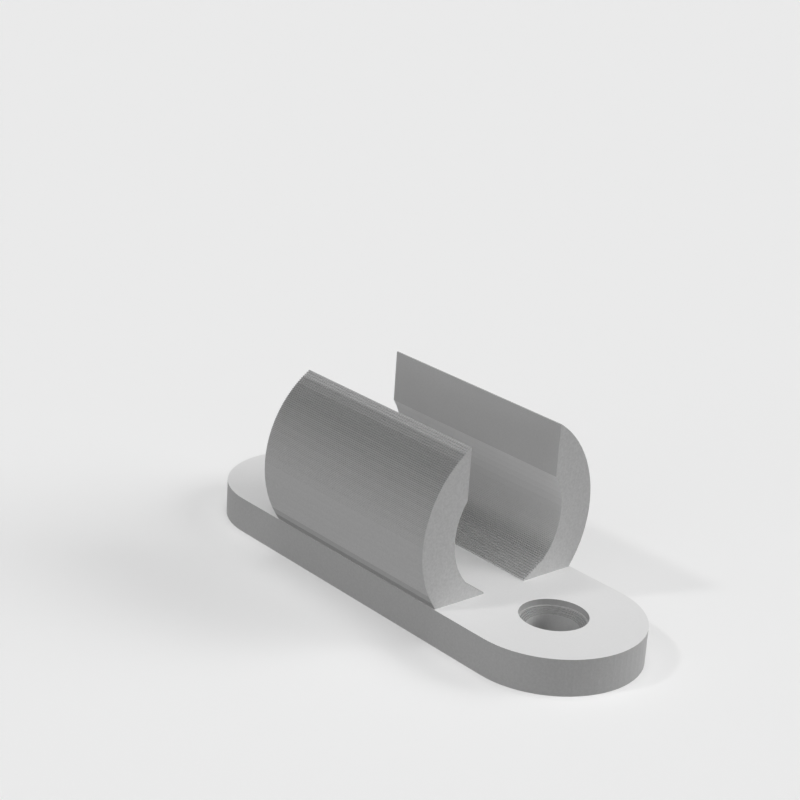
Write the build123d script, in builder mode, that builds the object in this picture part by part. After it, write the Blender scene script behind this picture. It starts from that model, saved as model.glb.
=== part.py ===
from build123d import *

import os
from math import sqrt

# Cable holder in one printed piece: a flat base with a countersunk screw hole
# in each rounded end, and an open clip whose two arms hold the cable.
# Millimetres. The origin is the middle of the base's underside, +X runs along
# the base and the cable, and +Z points out of the clip's mouth.

# Base
base_length = 70.0
base_thickness = 4.7
foot_ledge = 0.18  # top of the base left bare outside each arm

# Clip
clip_length = 31.0
clip_offset = -0.5  # middle of the clip from the middle of the base, along X
bore_diameter = 17.5
arm_wall = 5.0
slot_width = 14.5
floor_cut = 0.6  # how far the flat floor stands inside the bore's circle
root_rise = 2.2  # height over the floor where each arm's flat root ends
tip_flat = 0.3  # width of the flat top of each arm

# Screw holes
screw_hole_diameter = 6.6
screw_head_diameter = 8.5
head_recess = 0.7  # straight wall above the countersink
countersink_angle = 90.0

# The bore's axis stands over the floor, and the arms stand on the base
bore_radius = bore_diameter / 2
outer_radius = bore_radius + arm_wall
axis_rise = bore_radius - floor_cut
axis_height = base_thickness + axis_rise
foot_reach = sqrt(outer_radius**2 - axis_rise**2)
base_width = 2 * (foot_reach + foot_ledge)

# Half of the clip's section, as distances from the middle and heights
slot_half = slot_width / 2
lip_height = axis_height + sqrt(bore_radius**2 - slot_half**2)
tip_reach = slot_half + tip_flat
tip_height = axis_height + sqrt(outer_radius**2 - tip_reach**2)
root_reach = sqrt(bore_radius**2 - axis_rise**2)
knee_reach = sqrt(bore_radius**2 - (axis_rise - root_rise) ** 2)
knee_height = base_thickness + root_rise
seat_height = base_thickness / 2  # the arms run down into the base to here

# Both holes are centred on the base's rounded ends
hole_spacing = base_length - base_width

with BuildPart() as cable_holder:
    # Base plate with round ends
    with BuildSketch():
        SlotOverall(base_length, base_width)
    extrude(amount=base_thickness)

    # One arm's section, then its mirror image, seen along the cable
    with BuildSketch(Plane.YZ.offset(clip_offset)):
        with BuildLine():
            Polyline((foot_reach, base_thickness), (foot_reach, seat_height),
                     (root_reach, seat_height), (root_reach, base_thickness),
                     (knee_reach, knee_height))
            ThreePointArc((knee_reach, knee_height), (bore_radius, axis_height),
                          (slot_half, lip_height))
            Polyline((slot_half, lip_height), (slot_half, tip_height),
                     (tip_reach, tip_height))
            ThreePointArc((tip_reach, tip_height), (outer_radius, axis_height),
                          (foot_reach, base_thickness))
        make_face()
        mirror(about=Plane.YZ)
    extrude(amount=clip_length / 2, both=True)

    # Countersunk holes, each with its screw head let into the top of the base
    with Locations(Plane.XY.offset(base_thickness - head_recess)):
        with GridLocations(hole_spacing, 0, 2, 1):
            CounterSinkHole(radius=screw_hole_diameter / 2,
                            counter_sink_radius=screw_head_diameter / 2,
                            counter_sink_angle=countersink_angle)

cable_holder.part.label = "cable_holder"

os.makedirs("parts", exist_ok=True)
export_step(cable_holder.part, "parts/cable_holder.step")

print(f"base {base_length} x {base_width:.3f} x {base_thickness}, holes {hole_spacing:.3f} apart")
print(f"bore axis at {axis_height:.3f}, lips at {lip_height:.3f}, tips at {tip_height:.3f}")
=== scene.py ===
from math import acos, asin, ceil, cos, pi, radians, sin, sqrt

import bmesh
import bpy
from mathutils import Matrix, Vector


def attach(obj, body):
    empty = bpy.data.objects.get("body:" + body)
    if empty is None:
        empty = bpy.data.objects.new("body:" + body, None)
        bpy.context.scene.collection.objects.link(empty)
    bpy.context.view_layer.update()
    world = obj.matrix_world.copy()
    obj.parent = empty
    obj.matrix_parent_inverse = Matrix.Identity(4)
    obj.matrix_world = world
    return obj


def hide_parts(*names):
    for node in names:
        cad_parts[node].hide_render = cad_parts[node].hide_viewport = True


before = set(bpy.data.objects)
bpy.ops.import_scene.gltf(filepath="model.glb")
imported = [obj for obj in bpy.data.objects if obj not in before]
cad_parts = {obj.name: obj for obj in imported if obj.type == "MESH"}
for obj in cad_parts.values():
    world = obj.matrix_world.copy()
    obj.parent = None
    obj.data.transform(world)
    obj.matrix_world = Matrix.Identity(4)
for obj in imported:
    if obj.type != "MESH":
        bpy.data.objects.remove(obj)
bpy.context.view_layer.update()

# Looks of the printed cable holder: the same sizes as its solid, but shown as
# it comes off the printer, sliced into layers. Lengths are millimetres here and
# become metres on the finished mesh.
MM = 0.001

# Base
BASE_LENGTH = 70.0
BASE_THICKNESS = 4.7
SPACING = 47.491  # between the screw holes, and the base's round ends

# Clip
CLIP_START = -16.0
CLIP_END = 15.0
BORE_RADIUS = 8.75
OUTER_RADIUS = 13.75
AXIS_HEIGHT = 12.85
SLOT_HALF = 7.25
KNEE_HEIGHT = 6.9
TIP_TOP = 24.5
SEAT_HEIGHT = 2.4  # the arms run down inside the base to here

# Screw holes
HOLE_RADIUS = 3.3
HEAD_RADIUS = 4.25
HEAD_RECESS = 0.8
HEAD_LEDGE = 0.22  # flat ring between the recess and the countersink
OVERSHOOT = 1.0  # how far the cutting tool stands out of the base

# Printing
LAYER = 0.2
CHORD_ERROR = 0.0122  # how far the flats of a round wall may lie inside it

# Lengths closer than this are the same, and a face whose normal has more than
# this along an axis faces that way
SAME = 0.01
FACING = 0.9


def flats(radius, angle):
    """How many flats the printer's file makes of an arc."""
    return ceil(angle / (2 * acos(1 - CHORD_ERROR / radius)))


def arc(radius, start, end, centre=(0.0, 0.0)):
    """The corners of an arc's flats, from start to end in radians."""
    count = flats(radius, abs(end - start))
    turn = (end - start) / count
    return [(centre[0] + radius * cos(start + turn * i),
             centre[1] + radius * sin(start + turn * i)) for i in range(count + 1)]


def reach_at(line, height):
    """How far out a rising line of flats stands at a height."""
    for (y0, z0), (y1, z1) in zip(line, line[1:]):
        if z0 <= height <= z1:
            return y0 + (y1 - y0) * (height - z0) / (z1 - z0)
    return line[-1][0]


def solid_from_outline(outline, height, lift):
    """A prism: an outline of (x, y) pushed up from lift by height."""
    bm = bmesh.new()
    face = bm.faces.new([bm.verts.new((x, y, lift)) for x, y in outline])
    pushed = bmesh.ops.extrude_face_region(bm, geom=[face])
    tops = [e for e in pushed["geom"] if isinstance(e, bmesh.types.BMVert)]
    bmesh.ops.translate(bm, verts=tops, vec=(0, 0, height))
    bmesh.ops.recalc_face_normals(bm, faces=bm.faces)
    return bm


def make_object(bm, name):
    mesh = bpy.data.meshes.new(name)
    bm.to_mesh(mesh)
    bm.free()
    obj = bpy.data.objects.new(name, mesh)
    bpy.context.scene.collection.objects.link(obj)
    return obj


def combine(target, tool, operation):
    """Adds one solid to another or takes it away, for good."""
    step = target.modifiers.new("combine", "BOOLEAN")
    step.operation = operation
    step.solver = "EXACT"
    step.object = tool
    depsgraph = bpy.context.evaluated_depsgraph_get()
    mesh = bpy.data.meshes.new_from_object(target.evaluated_get(depsgraph))
    target.modifiers.clear()
    target.data = mesh
    bpy.data.objects.remove(tool)


# Base plate
def base_outline():
    radius = (BASE_LENGTH - SPACING) / 2
    right = arc(radius, -pi / 2, pi / 2, (SPACING / 2, 0))
    left = [(-x, -y) for x, y in right]
    return right + left


def base_plate():
    return solid_from_outline(base_outline(), BASE_THICKNESS, 0.0)


# Arms of the clip, one flat slice for each layer
def arm_outer_line():
    low = asin((BASE_THICKNESS - AXIS_HEIGHT) / OUTER_RADIUS)
    high = acos(SLOT_HALF / OUTER_RADIUS)
    return arc(OUTER_RADIUS, low, high, (0, AXIS_HEIGHT))


def arm_inner_line():
    rise = AXIS_HEIGHT - BASE_THICKNESS
    root = (sqrt(BORE_RADIUS**2 - rise**2), BASE_THICKNESS)
    low = asin((KNEE_HEIGHT - AXIS_HEIGHT) / BORE_RADIUS)
    high = acos(SLOT_HALF / BORE_RADIUS)
    bore = arc(BORE_RADIUS, low, high, (0, AXIS_HEIGHT))
    return [root] + bore + [(SLOT_HALF, 2 * TIP_TOP)]


def arm_section():
    """The stepped outline of one arm, as (y, z)."""
    outer, inner = arm_outer_line(), arm_inner_line()
    count = round((TIP_TOP - BASE_THICKNESS) / LAYER)
    levels = [BASE_THICKNESS + LAYER * i for i in range(count + 1)]
    out_steps, in_steps = [], []
    for low, high in zip(levels, levels[1:]):
        middle = (low + high) / 2
        bottom = SEAT_HEIGHT if low == BASE_THICKNESS else low
        out_steps += [(reach_at(outer, middle), z) for z in (bottom, high)]
        in_steps += [(reach_at(inner, middle), z) for z in (bottom, high)]
    steps = out_steps + in_steps[::-1]
    return [point for point, last in zip(steps, [None] + steps) if point != last]


def arm(side):
    bm = solid_from_outline(arm_section(), CLIP_END - CLIP_START, 0.0)
    # the outline's (y, z) becomes the model's Y and Z, and the push its X
    turn = Matrix(((0, 0, 1), (side, 0, 0), (0, 1, 0))).to_4x4()
    bmesh.ops.transform(bm, matrix=Matrix.Translation((CLIP_START, 0, 0)) @ turn, verts=bm.verts)
    bmesh.ops.dissolve_limit(bm, angle_limit=radians(0.1), verts=bm.verts,
                             edges=bm.edges, use_dissolve_boundaries=False)
    bmesh.ops.recalc_face_normals(bm, faces=bm.faces)
    return bm


# Screw holes: a straight recess for the head, then the countersink's steps
def hole_profile():
    z = BASE_THICKNESS - HEAD_RECESS
    profile = [(HEAD_RADIUS, BASE_THICKNESS + OVERSHOOT), (HEAD_RADIUS, z)]
    radius = HEAD_RADIUS - HEAD_LEDGE
    while radius > HOLE_RADIUS + SAME:
        profile.append((radius, z))
        z -= LAYER
        profile.append((radius, z))
        radius = max(radius - LAYER, HOLE_RADIUS)
    profile += [(HOLE_RADIUS, z), (HOLE_RADIUS, -OVERSHOOT)]
    return profile


def hole_tool(x):
    profile = hole_profile()
    bm = bmesh.new()
    points = [(0.0, profile[0][1])] + profile + [(0.0, profile[-1][1])]
    verts = [bm.verts.new((r, 0, z)) for r, z in points]
    edges = [bm.edges.new(pair) for pair in zip(verts, verts[1:])]
    bmesh.ops.spin(bm, geom=verts + edges, cent=(0, 0, 0), axis=(0, 0, 1), angle=2 * pi,
                   steps=flats(HEAD_RADIUS, 2 * pi), use_merge=True, use_duplicate=False)
    bmesh.ops.remove_doubles(bm, verts=bm.verts, dist=0.0001)
    bmesh.ops.translate(bm, verts=bm.verts, vec=(x, 0, 0))
    bmesh.ops.recalc_face_normals(bm, faces=bm.faces)
    return bm


def cable_holder():
    holder = make_object(base_plate(), "printed_cable_holder")
    for side in (-1, 1):
        combine(holder, make_object(arm(side), "arm"), "UNION")
    for side in (-1, 1):
        combine(holder, make_object(hole_tool(side * SPACING / 2), "hole"), "DIFFERENCE")
    holder.data.transform(Matrix.Scale(MM, 4))
    return holder


# Tones of the printed plastic, with painted light and shade. The nozzle lays the base's top as one
# smooth skin;
# the walls are layer edges. The skin's much lighter tone is painted light on faces turned up.
SKIN_TONE_WITH_PAINTED_LIGHT = 0.82
WALL_TONE = 0.56
# painted shade: the walls of the clip's mouth, between the arms, are painted a little darker than
# the other walls
SLOT_PAINTED_SHADE_TONE = 0.535  # straight walls of the clip's mouth
# painted shade: the treads inside the clip are painted darker than the skin
INSIDE_TREAD_PAINTED_SHADE_TONE = 0.40
# painted shade in the screw holes: the ledge, the countersink's treads and the walls round the
# screw's head are painted darker than the skin and the walls
LEDGE_PAINTED_SHADE_TONE = 0.46
SINK_TREAD_PAINTED_SHADE_TONE = 0.27
SINK_WALL_PAINTED_SHADE_TONE = 0.44  # walls around the screw's head, down to the hole's own wall
# Pairs of how far each layer stands back (positive) or out (negative), in mm, and the tone that goes
# with it, for the arms' walls and outer treads: painted shade at the foot, on the upper slopes and
# on the treads, painted light just above the foot and near the tips
OUTSIDE_PAINTED_LIGHT_AND_SHADE_TONES = ((-0.135, 0.40), (-0.112, 0.57), (-0.09, 0.69), (-0.05, 0.65), (0.0, 0.60),
                 (0.06, 0.56), (0.10, 0.50), (0.17, 0.40), (0.21, 0.38), (0.25, 0.46), (0.294, 0.64))
TREAD_PAINTED_SHADE_TONES = ((0.16, 0.22), (0.25, 0.27), (0.294, 0.36))
# painted light: the bore's walls are painted lighter than the other walls, most of all on its upper
# part, which hangs over and faces down
INSIDE_PAINTED_LIGHT_TONES = ((-0.20, 0.86), (-0.08, 0.72), (0.0, 0.57), (0.10, 0.57), (0.20, 0.60), (0.30, 0.66))

# Fine grain of the plastic: its size, and how far it moves tone, gloss and surface.
# It shows most on the arms' end faces and least on the skin and inside the clip.
GRAIN_SIZE = 0.28
GRAIN_TONE = 0.17
GRAIN_ROUGHNESS = (0.50, 0.60)
GRAIN_HEIGHT = 0.01
SKIN_GRAIN = 0.2
END_GRAIN = 1.0
OUTSIDE_GRAIN = 0.6
INSIDE_GRAIN = 0.35


def step_at(line, height):
    """How far a layer stands back from the one below, or out over it if negative."""
    for (y0, z0), (y1, z1) in zip(line, line[1:]):
        if z0 <= height <= z1:
            return -LAYER * (y1 - y0) / (z1 - z0)
    return 0.0


def tone_at(tones, step):
    """Reads a tone between the pairs."""
    if step <= tones[0][0]:
        return tones[0][1]
    for (s0, t0), (s1, t1) in zip(tones, tones[1:]):
        if step <= s1:
            return t0 + (t1 - t0) * (step - s0) / (s1 - s0)
    return tones[-1][1]


def low_face_tone(face, height, flat):
    """Tone of the base's walls, and the painted shade of the faces in the screw holes."""
    if flat:
        on_ledge = abs(height - BASE_THICKNESS + HEAD_RECESS) < SAME
        return LEDGE_PAINTED_SHADE_TONE if on_ledge else SINK_TREAD_PAINTED_SHADE_TONE
    from_hole = Vector((abs(face.center.x) / MM - SPACING / 2, face.center.y / MM)).length
    around_head = HOLE_RADIUS < from_hole < HEAD_RADIUS + SAME and face.normal.z > -FACING
    return SINK_WALL_PAINTED_SHADE_TONE if around_head else WALL_TONE


def faces_out(face):
    """Whether a face of an arm looks away from the clip's middle."""
    return face.normal.y * face.center.y > 0


def face_tone(face, outer, inner):
    height = face.center.z / MM
    flat = face.normal.z > FACING
    if flat and abs(height - BASE_THICKNESS) < SAME:
        # painted light: the base's top skin gets a much lighter tone than the walls
        return SKIN_TONE_WITH_PAINTED_LIGHT
    if height < BASE_THICKNESS:
        return low_face_tone(face, height, flat)
    reach = abs(face.center.y) / MM
    if flat:
        outside = reach > (reach_at(outer, height) + reach_at(inner, height)) / 2
        return tone_at(TREAD_PAINTED_SHADE_TONES, step_at(outer, height)) if outside else INSIDE_TREAD_PAINTED_SHADE_TONE
    if abs(face.normal.y) < FACING:
        return WALL_TONE
    if faces_out(face):
        return tone_at(OUTSIDE_PAINTED_LIGHT_AND_SHADE_TONES, step_at(outer, height))
    if abs(reach - SLOT_HALF) < SAME:
        return SLOT_PAINTED_SHADE_TONE
    return tone_at(INSIDE_PAINTED_LIGHT_TONES, -step_at(inner, height))


def face_grain(face):
    if face.normal.z > FACING:
        return SKIN_GRAIN
    if abs(face.normal.x) > FACING and face.center.z / MM > BASE_THICKNESS:
        return END_GRAIN
    return OUTSIDE_GRAIN if faces_out(face) else INSIDE_GRAIN


def mark_faces(holder):
    """Gives each face its tone, with painted light and shade, and how much grain it shows."""
    mesh = holder.data
    outer, inner = arm_outer_line(), arm_inner_line()
    tone = mesh.attributes.new("tone", "FLOAT", "FACE")
    grain = mesh.attributes.new("grain", "FLOAT", "FACE")
    for face in mesh.polygons:
        tone.data[face.index].value = face_tone(face, outer, inner)
        grain.data[face.index].value = face_grain(face)


def new_material(name):
    material = bpy.data.materials.new(name)
    material.use_nodes = True
    return material, material.node_tree.nodes, material.node_tree.links


def between(nodes, links, source, low, high):
    """Runs from low to high as the source runs from 0 to 1."""
    scale = nodes.new("ShaderNodeMapRange")
    scale.inputs["To Min"].default_value = low
    scale.inputs["To Max"].default_value = high
    links.new(source, scale.inputs["Value"])
    return scale.outputs["Result"]


def attribute(nodes, name):
    """Reads a value that mark_faces gave each face."""
    node = nodes.new("ShaderNodeAttribute")
    node.attribute_name = name
    return node.outputs["Fac"]


def grain_pattern(nodes, links):
    place = nodes.new("ShaderNodeTexCoord")
    noise = nodes.new("ShaderNodeTexNoise")
    noise.inputs["Scale"].default_value = 1 / (GRAIN_SIZE * MM)
    noise.inputs["Detail"].default_value = 1.0
    links.new(place.outputs["Object"], noise.inputs["Vector"])
    return noise.outputs["Fac"]


def plastic_material():
    material, nodes, links = new_material("printed_plastic")
    shader = nodes["Principled BSDF"]
    shader.inputs["Specular IOR Level"].default_value = 0.5
    tone, amount = attribute(nodes, "tone"), attribute(nodes, "grain")
    pattern = grain_pattern(nodes, links)

    # the grain lightens and darkens the tone by turns
    grained = nodes.new("ShaderNodeMath")
    grained.operation = "MULTIPLY_ADD"
    links.new(between(nodes, links, pattern, -GRAIN_TONE / 2, GRAIN_TONE / 2), grained.inputs[0])
    links.new(amount, grained.inputs[1])
    links.new(tone, grained.inputs[2])
    links.new(grained.outputs["Value"], shader.inputs["Base Color"])

    links.new(between(nodes, links, pattern, *GRAIN_ROUGHNESS), shader.inputs["Roughness"])
    bump = nodes.new("ShaderNodeBump")
    bump.inputs["Distance"].default_value = GRAIN_HEIGHT * MM
    links.new(amount, bump.inputs["Strength"])
    links.new(pattern, bump.inputs["Height"])
    links.new(bump.outputs["Normal"], shader.inputs["Normal"])
    return material


# Camera: where it stands round the part and over it, in degrees and millimetres
SHOT_AZIMUTH = 48.763
SHOT_ELEVATION = 20.118
SHOT_ROLL = 3.873
SHOT_DISTANCE = 244.268
SHOT_SHIFT = (-4.260, 22.440)  # to the right and up
LENS = 85.743
SENSOR_WIDTH = 36.0


def photo_camera():
    azimuth, elevation, roll = (radians(a) for a in (SHOT_AZIMUTH, SHOT_ELEVATION, SHOT_ROLL))
    back = Vector((sin(azimuth) * cos(elevation), -cos(azimuth) * cos(elevation), sin(elevation)))
    right = Vector((cos(azimuth), sin(azimuth), 0))
    up = back.cross(right)
    place = right * SHOT_SHIFT[0] + up * SHOT_SHIFT[1] + back * SHOT_DISTANCE
    turned_right = right * cos(roll) + up * sin(roll)
    turned_up = up * cos(roll) - right * sin(roll)
    data = bpy.data.cameras.new("photo")
    data.lens = LENS
    data.sensor_width = SENSOR_WIDTH
    data.clip_start = 0.01
    data.clip_end = 20.0
    camera = bpy.data.objects.new("photo", data)
    turn = Matrix((turned_right, turned_up, back)).transposed().to_4x4()
    camera.matrix_world = Matrix.Translation(place * MM) @ turn
    bpy.context.scene.collection.objects.link(camera)
    bpy.context.scene.camera = camera


# Lamps: azimuth and elevation that each shines from, spread in degrees, strength
LAMPS = {
    "softbox_1": (32.0, 24.0, 16.0, 0.25),
    "softbox_2": (44.0, 24.0, 16.0, 0.50),
    "softbox_3": (56.0, 24.0, 16.0, 0.30),
    "softbox_4": (56.0, 36.0, 16.0, 0.33),
    "softbox_5": (68.0, 24.0, 16.0, 0.17),
    "softbox_6": (68.0, 36.0, 16.0, 0.10),
    "softbox_7": (86.0, 35.0, 16.0, 0.06),
    "spot": (-110.0, 45.0, 5.0, 0.47),
    "overhead": (0.0, 88.0, 34.0, 1.03),
    "fill_front": (270.0, 30.0, 50.0, 0.25),
    "fill_right": (310.0, 30.0, 50.0, 0.42),
    "fill_low": (272.0, 6.0, 14.0, 0.18),
}


def sun(name, azimuth, elevation, spread, strength):
    data = bpy.data.lights.new(name, "SUN")
    data.angle = radians(spread)
    data.energy = strength
    light = bpy.data.objects.new(name, data)
    a, e = radians(azimuth), radians(elevation)
    away = Vector((cos(a) * cos(e), sin(a) * cos(e), sin(e)))
    light.matrix_world = away.to_track_quat("Z", "Y").to_matrix().to_4x4()
    bpy.context.scene.collection.objects.link(light)


# Backdrop and floor. The floor is a pale sheet that glows a little where it is
# seen, and throws less light back on the part than its seen colour would.
BACKDROP = 0.8308
FLOOR_SIZE = 6.0  # metres from its middle to its edges
FLOOR_GAP = 0.02  # how far it lies under the base, mm
FLOOR_SHADE = 0.66  # its colour where it is seen
FLOOR_BOUNCE = 0.21  # its colour for the light that it throws back
FLOOR_GLOW = 0.298


def seen_directly(nodes, links):
    """1 for rays that show the backdrop: the camera's, mirrored ones and those through glass."""
    path = nodes.new("ShaderNodeLightPath")
    total = path.outputs["Is Camera Ray"]
    for name in ("Is Glossy Ray", "Is Transmission Ray"):
        pick = nodes.new("ShaderNodeMath")
        pick.operation = "MAXIMUM"
        links.new(total, pick.inputs[0])
        links.new(path.outputs[name], pick.inputs[1])
        total = pick.outputs[0]
    return total


def floor_material():
    material, nodes, links = new_material("floor")
    shader = nodes["Principled BSDF"]
    shader.inputs["Roughness"].default_value = 1.0
    shader.inputs["Specular IOR Level"].default_value = 0.0
    shader.inputs["Emission Color"].default_value = (1, 1, 1, 1)
    seen = seen_directly(nodes, links)
    links.new(between(nodes, links, seen, FLOOR_BOUNCE, FLOOR_SHADE), shader.inputs["Base Color"])
    links.new(between(nodes, links, seen, 0.0, FLOOR_GLOW), shader.inputs["Emission Strength"])

    # see-through from below
    side = nodes.new("ShaderNodeNewGeometry")
    clear = nodes.new("ShaderNodeBsdfTransparent")
    choice = nodes.new("ShaderNodeMixShader")
    links.new(side.outputs["Backfacing"], choice.inputs[0])
    links.new(shader.outputs["BSDF"], choice.inputs[1])
    links.new(clear.outputs["BSDF"], choice.inputs[2])
    links.new(choice.outputs["Shader"], nodes["Material Output"].inputs["Surface"])
    return material


def floor():
    bm = bmesh.new()
    bmesh.ops.create_grid(bm, x_segments=1, y_segments=1, size=FLOOR_SIZE)
    bmesh.ops.translate(bm, verts=bm.verts, vec=(0, 0, -FLOOR_GAP * MM))
    sheet = make_object(bm, "floor")
    sheet.data.materials.append(floor_material())


def studio():
    scene = bpy.context.scene
    scene.view_settings.view_transform = "Standard"
    scene.world = bpy.data.worlds.new("studio")
    scene.world.use_nodes = True
    nodes, links = scene.world.node_tree.nodes, scene.world.node_tree.links
    background = nodes["Background"]
    background.inputs["Color"].default_value = (1, 1, 1, 1)
    seen = seen_directly(nodes, links)
    links.new(between(nodes, links, seen, 0.0, BACKDROP), background.inputs["Strength"])
    for name, lamp in LAMPS.items():
        sun(name, *lamp)


holder = cable_holder()
mark_faces(holder)
holder.data.materials.clear()
holder.data.materials.append(plastic_material())
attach(holder, "root")
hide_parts("cable_holder")
floor()
photo_camera()
studio()

print("triangles", sum(len(p.vertices) - 2 for p in holder.data.polygons))
